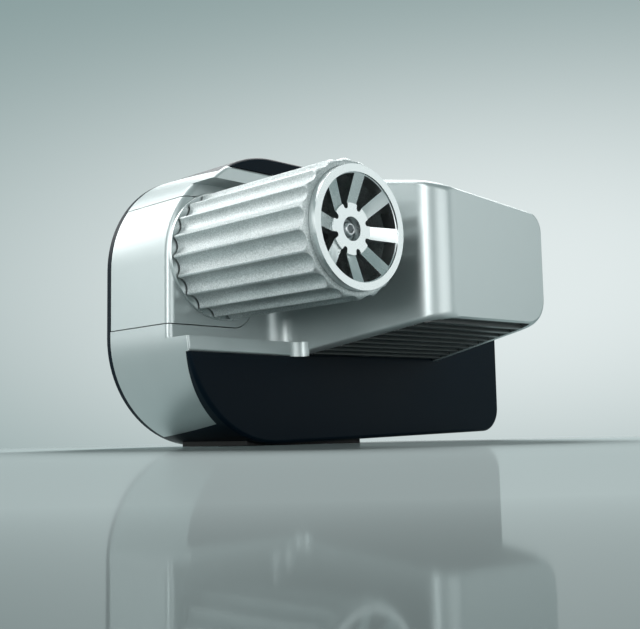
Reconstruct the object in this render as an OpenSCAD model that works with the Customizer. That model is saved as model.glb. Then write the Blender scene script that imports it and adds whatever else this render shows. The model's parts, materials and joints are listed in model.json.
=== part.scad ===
// Motor mover for a caravan wheel: a fluted drive roller on a carriage that slides out
// of a C-shaped housing to press on the tyre, with its drive motor under a silver cover.
// X runs along the roller axis to its free end, Y from the tyre side to the rear, Z up.
// Lengths below are taken from the roller axis (Y and Z) and the front of its end cap (X)
// and moved at the end so that the origin is under the middle of the part.

/* [Roller] */
// Outer diameter of the drive roller
roller_d = 80; // [79:0.5:82]
// Length of the drive roller
roller_len = 113.5; // [104:0.5:120]
// Number of flutes round the roller
flute_count = 20; // [14:1:20]
// Radius of the round cutter that makes a flute
flute_r = 6.5; // [5.5:0.5:7]
// Depth of a flute
flute_depth = 3.4; // [2:0.1:3.6]
// Distance of the round ends of the flutes behind the free end
flute_stop = 4.5; // [4:0.5:12]
// Radius of the round shoulder at the free end
shoulder_r = 3.2; // [2:0.1:3.6]
// Bore of the roller tube
roller_bore = 62; // [56:1:64]
// Thickness of the web that joins the tube to the shaft
roller_web = 12; // [8:1:20]
// Diameter of the roller shaft
shaft_d = 17; // [15:1:18]

/* [End cap] */
// Outer diameter of the end cap
cap_d = 70.6; // [68:0.1:71]
// Width of the bright rim of the end cap
cap_rim_w = 4.4; // [3.6:0.1:5]
// Length of the rim of the end cap
cap_t = 11; // [9:0.5:14]
// Height of the rim above the free end of the roller
cap_stand = 5; // [3:0.1:6]
// Number of spokes in the end cap
spoke_count = 8; // [6:1:8]
// Width of a spoke
spoke_w = 7; // [6:0.1:8]
// Thickness of a spoke
spoke_t = 3.5; // [2.5:0.1:4]
// Depth of the spokes behind the rim at their outer ends
spoke_sink = 1.2; // [0.8:0.1:2]
// Diameter of the hub of the end cap
hub_d = 29.5; // [27:0.5:31]
// Thickness of the hub
hub_t = 8; // [7.5:0.1:10]
// Depth of the hub behind the rim
hub_sink = 6.9; // [5:0.1:7.5]
// Diameter of the recess for the screw head
screw_recess_d = 13.8; // [13.4:0.1:15]
// Diameter of the screw head
screw_head_d = 13; // [11:0.1:13]
// Height of the screw head
screw_head_h = 5; // [4:0.1:6]
// Diameter of the screw shank
screw_d = 8; // [6:0.5:8]
// Length of the screw shank
screw_len = 26; // [18:1:34]

/* [Housing] */
// Depth of the housing along the roller axis
body_depth = 85; // [84:1:92]
// Length of the housing from the tyre side to the rear
body_len = 304; // [292:1:320]
// Roller axis to the tyre side of the housing
axis_to_side = 41.2; // [41:0.1:44]
// Roller axis to the top of the housing
axis_to_top = 65; // [64:1:72]
// Roller axis to the bottom of the housing
axis_to_bottom = 118.5; // [116:0.5:124]
// Radius of the two large corners on the tyre side
corner_r = 70; // [66:1:74]
// Radius of the two small corners at the rear
rear_r = 18; // [12:1:24]
// Rise of the bottom towards the rear, in degrees
bottom_rise = 1.6; // [0.8:0.1:2]
// Wall of the housing and the shells
wall = 3; // [2.5:0.1:3.4]
// Thickness of the back wall of the housing
back_t = 4; // [3.5:0.1:5]
// Height of the upper seam above the roller axis
seam_top = 36; // [35.6:0.1:38]
// Depth of the lower seam below the roller axis
seam_low = 45; // [44:0.1:46]
// Gap left at the seams
seam_gap = 0.6; // [0.4:0.1:0.8]
// Height of the two ledges above and below the mouth
ledge_h = 9.3; // [8:0.1:11]
// Depth of the mouth behind the ledges
mouth_depth = 18.5; // [16:0.5:21]
// Radius of the inner corners of the carriage window
window_r = 16; // [12:1:20]
// Rear end of the carriage window
window_end = 25.5; // [24:0.5:30]
// Angle of the joint between the silver shells and the dark housing
joint_angle = 10; // [6:1:12]
// Slant of the front cover's lower edge round the tyre side, in degrees
rim_slant = 9; // [4:0.5:10]
// Radius of the hollow between the mouth and the motor cover
mouth_fillet_r = 13; // [8:0.5:14]
// Height of that fillet above the mouth's lower edge
mouth_fillet_h = 23.5; // [16:0.5:23.5]
// Length of the foot
foot_len = 102; // [90:1:110]
// Width of the foot
foot_w = 66; // [56:1:68]
// Thickness of the foot under the housing
foot_t = 0.7; // [0.5:0.1:2]

/* [Motor cover] */
// Length of the motor cover in front of the housing
cover_len = 117; // [112:1:126]
// Roller axis to the side wall of the motor cover
cover_side = 50; // [49:0.5:54]
// Width of the end face
cover_w = 110; // [106:1:114]
// Height of the end face above the roller axis
cover_top = 32.4; // [32:0.1:34]
// Depth of the end face below the roller axis
cover_low = 48.5; // [44:0.5:52]
// Slope of the top of the cover, in degrees
cover_top_slope = 11.2; // [10:0.1:11.6]
// Slope of the underside of the cover, in degrees
cover_low_slope = 7; // [5:0.1:7.2]
// Fall of the top of the cover to the rear, in degrees
cover_top_fall = 3.3; // [1:0.1:3.6]
// Rise of the underside of the cover to the rear, in degrees
cover_low_rise = 1; // [0:0.1:1.6]
// Flare of the rear side of the cover, in degrees
cover_flare = 20; // [14:0.5:24]
// Radius of the upright corner of the end face beside the roller
cover_corner_r = 17; // [12:0.5:18]
// Radius of the upper long edge beside the roller
cover_edge_r = 3.5; // [3.5:0.1:5]
// Radius of the upper long edge at the rear
cover_rear_r = 12; // [9:0.5:14]
// Radius of the lower long edge at the rear
cover_low_r = 17; // [13:0.5:19]
// Radius of the hollow between a ledge and the cover
fillet_r = 8.6; // [6:0.1:9]
// Number of ribs under the cover
rib_count = 9; // [6:1:9]
// Distance between two ribs
rib_pitch = 12; // [11:0.1:12.4]
// Width of a rib
rib_w = 4; // [3:0.5:6]
// Height of a rib
rib_h = 3; // [2:0.5:4]

/* [Drive] */
// Gear module
gear_module = 2; // [2:1:2]
// Teeth of the roller gear
roller_teeth = 27; // [27:1:27]
// Teeth of the idler gear
idler_teeth = 19; // [19:2:19]
// Teeth of the small compound gear
small_teeth = 14; // [14:2:14]
// Teeth of the large compound gear
large_teeth = 28; // [28:1:28]
// Teeth of the motor pinion
pinion_teeth = 12; // [12:2:12]
// Width of a gear
gear_w = 10; // [8:0.5:10.5]
// Play between meshing teeth
backlash = 0.3; // [0.25:0.05:0.4]
// Diameter of the drive motor
motor_d = 54; // [48:1:55]
// Length of the drive motor
motor_len = 98; // [86:1:100]
// Diameter of the motor shaft
motor_shaft_d = 10; // [8:1:11]
// Diameter of the gear pins
pin_d = 10; // [8:1:11]
// Outer diameter of the roller bearings
bearing_d = 35; // [32:1:36]
// Width of the roller bearings
bearing_w = 10; // [9:0.5:11]
// Wall of the gear case
case_wall = 2.8; // [2.4:0.1:2.9]

/* [Engagement] */
// Travel of the carriage towards the tyre
travel = 30; // [20:1:30]
// Diameter of the guide rods
rod_d = 10; // [8:1:12]
// Height of the upper guide rod above the roller axis
rod_top = 48; // [46:0.5:49]
// Depth of the lower guide rod below the roller axis
rod_low = 58; // [56:0.5:60]
// Depth of the spindle below the roller axis
spindle_low = 82; // [81:0.5:84]
// Diameter of the spindle
spindle_d = 12; // [10:1:14]
// Outer diameter of the spindle nut
nut_d = 22; // [20:1:24]
// Diameter of the engagement motor
engage_d = 36; // [32:1:40]
// Length of the engagement motor
engage_len = 56; // [48:1:62]

/* [Mounting] */
// Distance of the mounting holes along the housing
mount_pitch_y = 150; // [130:1:160]
// Distance of the mounting holes up the housing
mount_pitch_z = 120; // [116:1:124]
// Core diameter of the mounting threads
mount_core_d = 8.5; // [6.8:0.1:10.2]
// Outer diameter of the threaded bushes
mount_bush_d = 18; // [16:1:20]

/* [Hidden] */
$fn = 96;
hull_fn = 32;
// Clearances
run_clear = 0.05;
slide_gap = 0.5;
end_play = 0.4;
eps = 0.01;

// Places along the roller axis
roller_gap = 1;
disc_t = 2.4;
pad_t = 4;
x_roller_front = -cap_stand;
x_roller_back = x_roller_front - roller_len;
x_disc_front = x_roller_back - roller_gap;
x_pad_front = x_disc_front - disc_t;
x_plate_front = x_pad_front - pad_t;
x_case_front = x_plate_front - wall;
x_mouth = x_pad_front - slide_gap;
x_front = x_mouth + mouth_depth;
x_back = x_front - body_depth;
x_wall_in = x_back + back_t;
x_end = x_front + cover_len;
plate_t = 3;
x_plate_in = x_wall_in + plate_t;
case_gap = 2;
x_case_back = x_plate_in + case_gap;
case_cover_t = 5;
x_cavity_back = x_case_back + case_cover_t;
front_wall_t = 8;
x_cavity_front = x_case_front - front_wall_t;

// Places along the housing and up it
y_side = -axis_to_side;
y_rear = y_side + body_len;
y_corner = y_side + corner_r;
z_top = axis_to_top;
z_low = -axis_to_bottom;
z_floor = z_low - foot_t;
mouth_step_top = 9;
mouth_step_low = 8.5;
z_mouth_top = seam_top + mouth_step_top;
z_mouth_low = -seam_low - mouth_step_low;
z_ledge_low = z_mouth_low - ledge_h;
z_seam_low = -seam_low;
y_cover_in = cover_side + wall;
y_cover_end = cover_side + cover_w;

// Gear train along Y
function pitch_r(teeth) = gear_module * teeth / 2;
y_idler = pitch_r(roller_teeth) + pitch_r(idler_teeth);
y_compound = y_idler + pitch_r(idler_teeth) + pitch_r(small_teeth);
y_motor = y_compound + pitch_r(large_teeth) + pitch_r(pinion_teeth);
addendum = 0.8 * gear_module;
dedendum = 1.1 * gear_module;
pressure_angle = 25;
tip_clear = 0.6;
case_r_in = pitch_r(large_teeth) + addendum + tip_clear;
case_r = case_r_in + case_wall;
gear_gap = 3;
gear_space = 2;
x_gear_b = x_cavity_back + gear_space;
x_gear_a = x_gear_b + gear_w + gear_gap;

// Carriage
carriage_wall = 2;
carriage_lap = 22.5;
carriage_end = window_end + travel + carriage_lap;
edge_r = 5;
lug_gap = 6;
lug_y0 = carriage_end + lug_gap;
lug_len = 48;
lug_w = 30;
lug_back = 9;
x_lug = x_case_front - lug_back - lug_w;
x_rod = x_lug + lug_w / 2;
bush_wall = 2;
bush_len = 10;
block_t = 12;
block_gap = 4;
y_block_left = lug_y0 - travel - block_gap - block_t;
y_block_right = lug_y0 + lug_len + block_gap;
nut_len = 24;
nut_flange = 3;
gearbox_len = 30;
y_gearbox = y_block_right;
y_engage = y_gearbox + gearbox_len;

// Fasteners and fittings
post_r = 5;
post_screw_d = 4;
post_screw_len = 26;
post_head_d = 8;
post_head_h = 2.5;
post_sink = 0.3;
post_floor = 1;
grommet_d = 22;
grommet_bore = 12;
grommet_dish = 2.5;
mount_shift = 2;
y_mount = y_block_left + mount_pitch_y / 2 - mount_shift;
z_mount = -20;
mount_places = [for (i = [-1, 1]) for (j = [-1, 1]) [y_mount + i * mount_pitch_y / 2,
                                                     z_mount + j * mount_pitch_z / 2]];
post_inset = 17;
post_top_back = 8;
post_low_back = 18;
post_low_up = 20;
post_over_motor = 2;
z_post_top = z_top - wall - post_r - slide_gap;
z_post_rear = engage_d / 2 - spindle_low + post_r + post_over_motor;
post_places = [[y_corner - post_top_back, z_post_top],
               [y_rear - post_inset, z_top - post_inset],
               [y_corner - post_low_back, z_low + post_low_up],
               [y_rear - post_inset, z_post_rear]];

// Shapes that repeat
module along_x(x0, x1) {
    translate([x0, 0, 0]) rotate([90, 0, 90]) linear_extrude(height = x1 - x0) children();
}

module round_x(d, x0, x1, y = 0, z = 0) {
    translate([x0, y, z]) rotate([0, 90, 0]) cylinder(d = d, h = x1 - x0);
}

module round_y(d, y0, y1, x, z) {
    translate([x, y0, z]) rotate([-90, 0, 0]) cylinder(d = d, h = y1 - y0);
}

module slab(x0, x1, y0, y1, z0, z1) {
    translate([x0, y0, z0]) cube([x1 - x0, y1 - y0, z1 - z0]);
}

module place() {
    translate([-(x_back + x_end) / 2, -(y_side + y_rear) / 2, -z_floor]) children();
}

// Side view of the housing: two large round corners on the tyre side, a bottom that
// rises to the rear and two small corners there
z_corner_top = z_top - corner_r;
z_corner_low = z_low + corner_r;
y_rear_c = y_rear - rear_r;
z_rear_low = z_corner_low
    + ((y_rear_c - y_corner) * sin(bottom_rise) - (corner_r - rear_r)) / cos(bottom_rise);

module outline(inset = 0) {
    big = corner_r - inset;
    small = rear_r - inset;
    translate([y_corner, z_corner_top]) circle(r = big);
    translate([y_corner, z_corner_low]) circle(r = big);
    translate([y_rear_c, z_top - rear_r]) circle(r = small);
    translate([y_rear_c, z_rear_low]) circle(r = small);
    polygon([
        [y_side + inset, z_corner_top],
        [y_side + inset, z_corner_low],
        [y_corner + big * sin(bottom_rise), z_corner_low - big * cos(bottom_rise)],
        [y_rear_c + small * sin(bottom_rise), z_rear_low - small * cos(bottom_rise)],
        [y_rear - inset, z_rear_low],
        [y_rear - inset, z_top - rear_r],
        [y_rear_c, z_top - inset],
        [y_corner, z_top - inset]]);
}

module outline_ring(t) {
    difference() {
        outline();
        outline(t);
    }
}

// Far larger than the part, for cutting zones
far = 600;

module strip(z0, z1, y1 = far) {
    translate([-far, z0]) square([far + y1, z1 - z0]);
}

// Everything on the tyre side of the slanted joint between silver and dark
joint_top_back = 29;
joint_low_back = 28;
y_joint_top = y_corner - joint_top_back;
y_joint_low = y_corner - joint_low_back;

module silver_zone(y0, z0, z1) {
    translate([x_wall_in, y0, z0]) rotate([0, 0, -joint_angle])
        translate([-far, -far, 0]) cube([2 * far, far, z1 - z0]);
}

module silver_zones() {
    silver_zone(y_joint_top, 0, far);
    silver_zone(y_joint_low, -far, 0);
}

// Everything below the lower ledge and in front of the slanted lower edge there
module rim_zone() {
    intersection() {
        translate([x_front - wall, 0, z_ledge_low]) rotate([0, rim_slant, 0])
            translate([0, -far, -far]) cube([far, 2 * far, 2 * far]);
        slab(x_back, x_front + far, -far, far, -far, z_ledge_low);
    }
}

// Window in the mouth that the carriage looks out of
module window(gap = 0) {
    z0 = z_seam_low + gap;
    z1 = seam_top - gap;
    r = window_r - gap;
    y0 = window_end - window_r;
    translate([-far, z0]) square([far + y0, z1 - z0]);
    translate([-far, z0 + r]) square([far + y0 + r, z1 - z0 - 2 * r]);
    for (z = [z0 + r, z1 - r]) translate([y0, z]) circle(r = r);
}

// Involute gear outline with a tooth, or a gap, on the +Y side
function inv(a) = tan(a) * 180 / PI - a;
function half_tooth(r, rb, at) =
    (PI * gear_module / 2 - backlash) / (2 * r) * 180 / PI
    + inv(pressure_angle) - inv(acos(min(1, rb / at)));
function polar(r, a) = [r * cos(a), r * sin(a)];
flank_steps = 5;

module gear_outline(teeth, gap_first = false) {
    r = pitch_r(teeth);
    rb = r * cos(pressure_angle);
    tip = r + addendum;
    root = r - dedendum;
    start = max(rb, root);
    shift = gap_first ? 180 / teeth : 0;
    rise = [for (i = [0:flank_steps]) start + (tip - start) * i / flank_steps];
    polygon([for (k = [0:teeth - 1])
        each let (c = shift + k * 360 / teeth) concat(
            [polar(root, c - half_tooth(r, rb, start))],
            [for (i = [0:flank_steps]) polar(rise[i], c - half_tooth(r, rb, rise[i]))],
            [for (i = [flank_steps:-1:0]) polar(rise[i], c + half_tooth(r, rb, rise[i]))],
            [polar(root, c + half_tooth(r, rb, start))])]);
}

module gear(teeth, x0, y, bore, gap_first = false) {
    along_x(x0, x0 + gear_w) translate([y, 0]) difference() {
        gear_outline(teeth, gap_first);
        circle(d = bore);
    }
}

// Colours
silver = [0.78, 0.81, 0.80];
dark = [0.07, 0.10, 0.14];
steel = [0.62, 0.63, 0.65];
cast = [0.70, 0.71, 0.70];
brass = [0.72, 0.58, 0.30];
black = [0.05, 0.05, 0.05];

// Fixed housing
module back_housing() {
    color(dark) place() difference() {
        union() {
            along_x(x_back, x_wall_in) outline();
            difference() {
                along_x(x_wall_in, x_front - wall) outline_ring(wall);
                silver_zones();
            }
        }
        for (p = mount_places) round_x(mount_bush_d, x_back - 1, x_wall_in + 1, p[0], p[1]);
        for (p = post_places) {
            round_x(post_head_d, x_back - 1, x_back + post_head_h, p[0], p[1]);
            round_x(post_screw_d, x_back, x_wall_in + 1, p[0], p[1]);
        }
        round_x(grommet_d, x_back - 1, x_wall_in + 1, y_grommet, z_grommet);
    }
}

// The front cover fills the front between the silver shells and the rear corner and wraps
// the tyre side below the lower ledge. Posts behind it take the screws from the back wall
module front_cover() {
    color(dark) place() difference() {
        union() {
            along_x(x_front - wall, x_front) outline();
            for (p = post_places) round_x(2 * post_r, x_plate_in, x_front - wall / 2, p[0], p[1]);
            intersection() {
                along_x(x_wall_in, x_front - wall / 2) outline_ring(wall);
                silver_zone(y_joint_low, -far, 0);
                rim_zone();
            }
        }
        along_x(x_front - 2 * wall, x_front + wall)
            strip(z_ledge_low, z_mouth_top + ledge_h, y_cover_in);
        cover_space();
        intersection() {
            along_x(x_front - 2 * wall, x_front + wall) outline_ring(wall);
            silver_zone(y_joint_top, 0, far);
        }
        for (p = post_places)
            round_x(post_screw_d, x_plate_in - 1, x_back + post_head_h + post_screw_len, p[0], p[1]);
    }
}

// One silver shell: its round wall, the ledge over the mouth and half of the window frame
module shell_wall(z0, z1, y_joint) {
    intersection() {
        along_x(x_wall_in, x_front) intersection() {
            outline_ring(wall);
            strip(z0, z1);
        }
        silver_zone(y_joint, z0, z1);
    }
}

module ledge(z0, z_step) {
    along_x(x_front - wall, x_front) intersection() {
        outline();
        strip(z0, z0 + ledge_h, cover_side);
    }
    along_x(x_mouth - wall, x_front) intersection() {
        outline();
        strip(z_step, z_step + wall, cover_side);
    }
    translate([x_front, cover_side - fillet_r, z0]) difference() {
        cube([fillet_r, fillet_r, ledge_h]);
        translate([fillet_r, 0, -1]) cylinder(r = fillet_r, h = ledge_h + 2);
    }
}

module window_frame(z0, z1) {
    along_x(x_mouth - wall, x_mouth) difference() {
        intersection() {
            outline();
            strip(z0, z1, y_cover_in);
        }
        window();
    }
}

module upper_shell() {
    color(silver) place() {
        difference() {
            shell_wall(seam_top, far, y_joint_top);
            slab(x_mouth, x_front + 1, -far, far, -far, z_mouth_top);
        }
        ledge(z_mouth_top, z_mouth_top);
        window_frame(0, z_mouth_top + wall);
    }
}

module lower_shell() {
    color(silver) place() {
        difference() {
            shell_wall(-far, z_seam_low, y_joint_low);
            slab(x_mouth, x_front + 1, -far, far, z_mouth_low, far);
            rim_zone();
        }
        ledge(z_ledge_low, z_mouth_low - wall);
        window_frame(z_mouth_low - wall, 0);
    }
}

// Motor cover: a tapered box that widens to the rear, with a round upright corner beside
// the roller and an open underside
low_edge_r = 4;
nose_r = 2;
least_r = 0.5;
rear_share = 0.3;
function cover_top_at(x) = cover_top + (x_end - x) * tan(cover_top_slope);
function cover_low_at(x) = -cover_low - (x_end - x) * tan(cover_low_slope);
function cover_rear_at(x) = y_cover_end + (x_end - x) * tan(cover_flare);
function top_fall(y) = (y - cover_side) * tan(cover_top_fall);
function low_rise(y) = (y - cover_side) * tan(cover_low_rise);

module spot(y, z, r) {
    translate([y, z]) circle(r = r, $fn = hull_fn);
}

module cover_section(x, in_y, in_z, inset) {
    y0 = cover_side + inset + in_y;
    y1 = cover_rear_at(x) - inset - rear_share * in_y;
    z0 = cover_low_at(x) + inset + in_z;
    z1 = cover_top_at(x) - inset - in_z;
    r_edge = max(cover_edge_r - inset, least_r);
    r_side = max(low_edge_r - inset, least_r);
    r_rear = cover_rear_r - inset;
    r_low = cover_low_r - inset;
    along_x(x - eps, x) {
        spot(y0 + r_edge, z1 - r_edge - top_fall(y0 + r_edge), r_edge);
        spot(y1 - r_rear, z1 - r_rear - top_fall(y1 - r_rear), r_rear);
        spot(y1 - r_low, z0 + r_low + low_rise(y1 - r_low), r_low);
        spot(y0 + r_side, z0 + r_side + low_rise(y0 + r_side), r_side);
    }
}

module cover_form(inset, x_start) {
    r = cover_corner_r - inset;
    hull() {
        for (t = [0:22.5:90])
            cover_section(x_end - inset - r * (1 - cos(t)), r * (1 - sin(t)),
                          nose_r * (1 - sin(t)), inset);
        cover_section(x_start + eps, 0, 0, inset);
    }
}

module cover_space() {
    cover_form(wall, x_front - 3 * wall);
}

module slanted(x0, x1, lift, t) {
    translate([0, cover_side, -cover_low]) rotate([cover_low_rise, 0, 0])
        translate([0, far, cover_low]) rotate([90, 0, 0]) linear_extrude(height = 2 * far)
            polygon([
                [x0, cover_low_at(x0) + lift],
                [x1, cover_low_at(x1) + lift],
                [x1, cover_low_at(x1) + lift + t],
                [x0, cover_low_at(x0) + lift + t]]);
}

// Opening under the cover, seen from above: a rim is left in front and at the sides
grille_t = 3;
grille_rim = 2;
grille_drop = 20;

module opening_plan(x_start) {
    r = cover_corner_r - grille_rim;
    x1 = x_end - grille_rim;
    y0 = cover_side + grille_rim;
    in_rear = cover_low_r + grille_rim;
    translate([0, 0, cover_low_at(x_start) - grille_drop]) linear_extrude(height = axis_to_bottom)
        polygon(concat(
            [[x_start, cover_rear_at(x_start) - in_rear], [x_start, y0]],
            [for (t = [90:-15:0]) [x1 - r * (1 - cos(t)), y0 + r * (1 - sin(t))]],
            [[x1, cover_rear_at(x1) - in_rear]]));
}

module cover_opening() {
    intersection() {
        opening_plan(x_front - wall);
        slanted(x_front - 2 * wall, x_end, -grille_drop, grille_drop + rib_h + grille_t);
    }
}

module mouth_fillet() {
    translate([x_mouth, cover_side - mouth_fillet_r, z_mouth_low]) difference() {
        cube([mouth_fillet_r, mouth_fillet_r, mouth_fillet_h]);
        translate([mouth_fillet_r, 0, -1]) cylinder(r = mouth_fillet_r, h = mouth_fillet_h + 2);
    }
}

module motor_cover() {
    color(silver) place() {
        difference() {
            cover_form(0, x_front);
            cover_space();
            cover_opening();
        }
        slab(x_mouth, x_front + wall, cover_side, y_cover_in,
             z_mouth_low, cover_top_at(x_front) - cover_edge_r);
        mouth_fillet();
    }
}

// Ribbed underside of the motor cover
rib_start = 14;

module cooling_grille() {
    color(black) place() intersection() {
        opening_plan(x_front);
        union() {
            slanted(x_front - wall, x_end, rib_h, grille_t);
            for (i = [0:rib_count - 1]) {
                x = x_end - rib_start - i * rib_pitch;
                slanted(x, x + rib_w, 0, rib_h + grille_t / 2);
            }
        }
    }
}

foot_setback = 12;
foot_start = 19;
foot_up = 6;

module foot() {
    x0 = x_back + foot_setback;
    y0 = y_corner - foot_start;
    color(black) place() difference() {
        slab(x0, x0 + foot_w, y0, y0 + foot_len, z_floor, z_low + foot_up);
        along_x(x_back, x_front) outline();
    }
}

plate_inset = 8;
grommet_inset = 40;
y_grommet = y_rear - grommet_inset;
z_grommet = -20;

module frame_plate() {
    color(steel) place() along_x(x_wall_in, x_plate_in) difference() {
        outline(plate_inset);
        for (p = mount_places) translate(p) circle(d = mount_core_d);
        for (p = post_places) translate(p) circle(d = post_screw_d);
        translate([y_grommet, z_grommet]) circle(d = grommet_d);
    }
}

module mount_bushes() {
    color(steel) place() for (p = mount_places) difference() {
        round_x(mount_bush_d, x_back, x_wall_in, p[0], p[1]);
        round_x(mount_core_d, x_back - 1, x_wall_in + 1, p[0], p[1]);
    }
}

module cable_grommet() {
    color(black) place() difference() {
        round_x(grommet_d, x_back, x_plate_in, y_grommet, z_grommet);
        round_x(grommet_bore, x_back - 1, x_back + grommet_dish, y_grommet, z_grommet);
    }
}

module cover_screws() {
    x_head = x_back + post_head_h;
    color(steel) place() for (p = post_places) difference() {
        union() {
            round_x(post_head_d, x_back + post_sink, x_head, p[0], p[1]);
            round_x(post_screw_d, x_head, x_head + post_screw_len, p[0], p[1]);
        }
        round_x(post_screw_d, x_back - 1, x_head - post_floor, p[0], p[1]);
    }
}

// Guide rods, their blocks and the engagement drive
block_h = 18;
block_reach = 12;

module upper_guide_rod() {
    color(steel) place() round_y(rod_d, y_block_left, y_block_right + block_t, x_rod, rod_top);
}

module lower_guide_rod() {
    color(steel) place() round_y(rod_d, y_block_left, y_block_right + block_t, x_rod, -rod_low);
}

module block(y, z, h_up, h_down, bore) {
    difference() {
        slab(x_plate_in, x_rod + block_reach, y, y + block_t, z - h_down, z + h_up);
        round_y(bore, y - 1, y + block_t + 1, x_rod, z);
    }
}

module rod_blocks() {
    color(cast) place() for (y = [y_block_left, y_block_right]) for (z = [rod_top, -rod_low])
        block(y, z, block_h / 2, block_h / 2, rod_d);
}

spindle_play = spindle_d + 2 * run_clear;

module spindle_bearing() {
    color(cast) place() block(y_block_left, -spindle_low, nut_d / 2, nut_d / 2, spindle_play);
}

gearbox_seat = 10;
gearbox_up = 13;
gearbox_down = 16;

module engage_gearbox() {
    color(cast) place() difference() {
        slab(x_plate_in, x_rod + engage_d / 2, y_gearbox, y_engage,
             -spindle_low - gearbox_down, -spindle_low + gearbox_up);
        round_y(spindle_play, y_gearbox - 1, y_gearbox + gearbox_seat, x_rod, -spindle_low);
    }
}

engage_boss_d = 14;
engage_boss_len = 4;

module engage_motor() {
    color(steel) place() {
        round_y(engage_d, y_engage, y_engage + engage_len, x_rod, -spindle_low);
        round_y(engage_boss_d, y_engage + engage_len - eps, y_engage + engage_len + engage_boss_len,
                x_rod, -spindle_low);
    }
}

module spindle() {
    color(steel) place()
        round_y(spindle_d, y_block_left, y_gearbox + gearbox_seat - end_play, x_rod, -spindle_low);
}

// Carriage: the silver band between the seams, with a round front edge
x_band_back = x_wall_in + seam_gap;
band_low = z_seam_low + seam_gap;
band_top = seam_top - seam_gap;

module round_front() {
    hull() {
        along_x(x_band_back, x_pad_front - edge_r) outline($fn = hull_fn * 3);
        for (t = [0:18:90])
            along_x(x_pad_front - edge_r, x_pad_front - edge_r * (1 - sin(t)) + eps)
                outline(edge_r * (1 - cos(t)), $fn = hull_fn * 3);
    }
}

shaft_room = 1;
shaft_hole_d = shaft_d + shaft_room;

module carriage_shell() {
    color(silver) place() difference() {
        intersection() {
            round_front();
            union() {
                along_x(x_band_back, x_plate_front) strip(band_low, band_top, carriage_end);
                along_x(x_plate_front - eps, x_pad_front) window(seam_gap);
            }
        }
        along_x(x_band_back - 1, x_case_front) intersection() {
            outline(wall);
            strip(band_low + carriage_wall, band_top - carriage_wall);
        }
        along_x(x_band_back - 1, x_plate_in + seam_gap) outline(plate_inset - 1);
        round_x(shaft_hole_d, x_case_front - 1, x_pad_front + 1);
    }
}

disc_d = 82;

module shield_disc() {
    color(cast) place() difference() {
        round_x(disc_d, x_pad_front, x_disc_front);
        round_x(shaft_hole_d, x_pad_front - 1, x_disc_front + 1);
    }
}

// Gear case with its lugs for the guide rods and the spindle nut
module stadium(r) {
    circle(r = r);
    translate([y_motor, 0]) circle(r = r);
    translate([0, -r]) square([y_motor, 2 * r]);
}

bearing_boss = 3;
bearing_lip = 1;
pin_cap = 2;
x_front_bearing = x_case_front - bearing_lip - bearing_w;
lug_root = 24;
lug_rim = 10;
nut_rim = 4;

module gear_case() {
    y1 = lug_y0 + lug_len;
    color(cast) place() difference() {
        union() {
            difference() {
                union() {
                    along_x(x_cavity_back, x_case_front) stadium(case_r);
                    slab(x_lug, x_lug + lug_w, lug_y0, y1, lug_root, rod_top + lug_rim);
                    slab(x_lug, x_lug + lug_w, lug_y0, y1,
                         -spindle_low - nut_d / 2 - nut_rim, -lug_root);
                }
                along_x(x_cavity_back - 1, x_cavity_front) stadium(case_r_in);
            }
            round_x(bearing_d + 2 * bearing_boss, x_front_bearing - bearing_lip, x_cavity_front + eps);
        }
        round_x(bearing_d, x_front_bearing - bearing_lip - 1, x_case_front - bearing_lip);
        round_x(shaft_hole_d, x_front_bearing, x_case_front + 1);
        round_x(pin_d, x_cavity_front - 1, x_case_front - pin_cap, y_idler);
        round_x(pin_d, x_cavity_front - 1, x_case_front - pin_cap, y_compound);
        round_x(motor_shaft_d + 2, x_cavity_front - 1, x_case_front + 1, y_motor);
        for (z = [rod_top, -rod_low]) round_y(rod_d + 2 * bush_wall, lug_y0 - 1, y1 + 1, x_rod, z);
        round_y(nut_d, lug_y0 - 1, y1 + 1, x_rod, -spindle_low);
        for (p = flange_screw_places)
            round_x(flange_screw_d, x_case_front - flange_screw_grip, x_case_front + 1, p[0], p[1]);
    }
}

shaft_blind = 3.5;

module gear_case_cover() {
    color(cast) place() difference() {
        union() {
            along_x(x_case_back, x_cavity_back) stadium(case_r);
            round_x(bearing_d + 2 * bearing_boss, x_cavity_back - eps, x_cavity_back + bearing_w);
        }
        round_x(bearing_d, x_cavity_back, x_cavity_back + bearing_w + 1);
        round_x(pin_d, x_case_back - 1, x_cavity_back + 1, y_compound);
        round_x(motor_shaft_d + 2 * run_clear, x_cavity_back - shaft_blind, x_cavity_back + 1, y_motor);
    }
}

module bearing(x0) {
    race = (bearing_d - shaft_d) / 6;
    color(steel) place() difference() {
        round_x(bearing_d, x0, x0 + bearing_w);
        round_x(shaft_d + 2 * run_clear, x0 - 1, x0 + bearing_w + 1);
        for (x = [x0 - 1, x0 + bearing_w - 1]) difference() {
            round_x(bearing_d - 2 * race, x, x + 2);
            round_x(shaft_d + 2 * race, x - 1, x + 3);
        }
    }
}

module front_bearing() {
    bearing(x_front_bearing);
}

module rear_bearing() {
    bearing(x_cavity_back);
}

pin_head_d = 14;
pin_head_t = 1.2;

module idler_pin() {
    x0 = x_gear_a - end_play;
    color(steel) place() {
        round_x(pin_d, x0 - eps, x_case_front - pin_cap, y_idler);
        round_x(pin_head_d, x0 - pin_head_t, x0, y_idler);
    }
}

module compound_pin() {
    color(steel) place() round_x(pin_d, x_case_back, x_case_front - pin_cap, y_compound);
}

// Drive motor on its flange
flange_d = 66;
flange_t = 12;
flange_screw_d = 3.2;
flange_screw_grip = 4;
flange_screw_head = 5.4;
flange_screw_head_h = 3;
x_motor = x_case_front + flange_t;
flange_screw_gap = 0.2;
flange_screw_r = motor_d / 2 + flange_screw_head / 2 + flange_screw_gap;
flange_screw_places = [for (a = [45:90:315])
    [y_motor + flange_screw_r * cos(a), flange_screw_r * sin(a)]];

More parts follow.
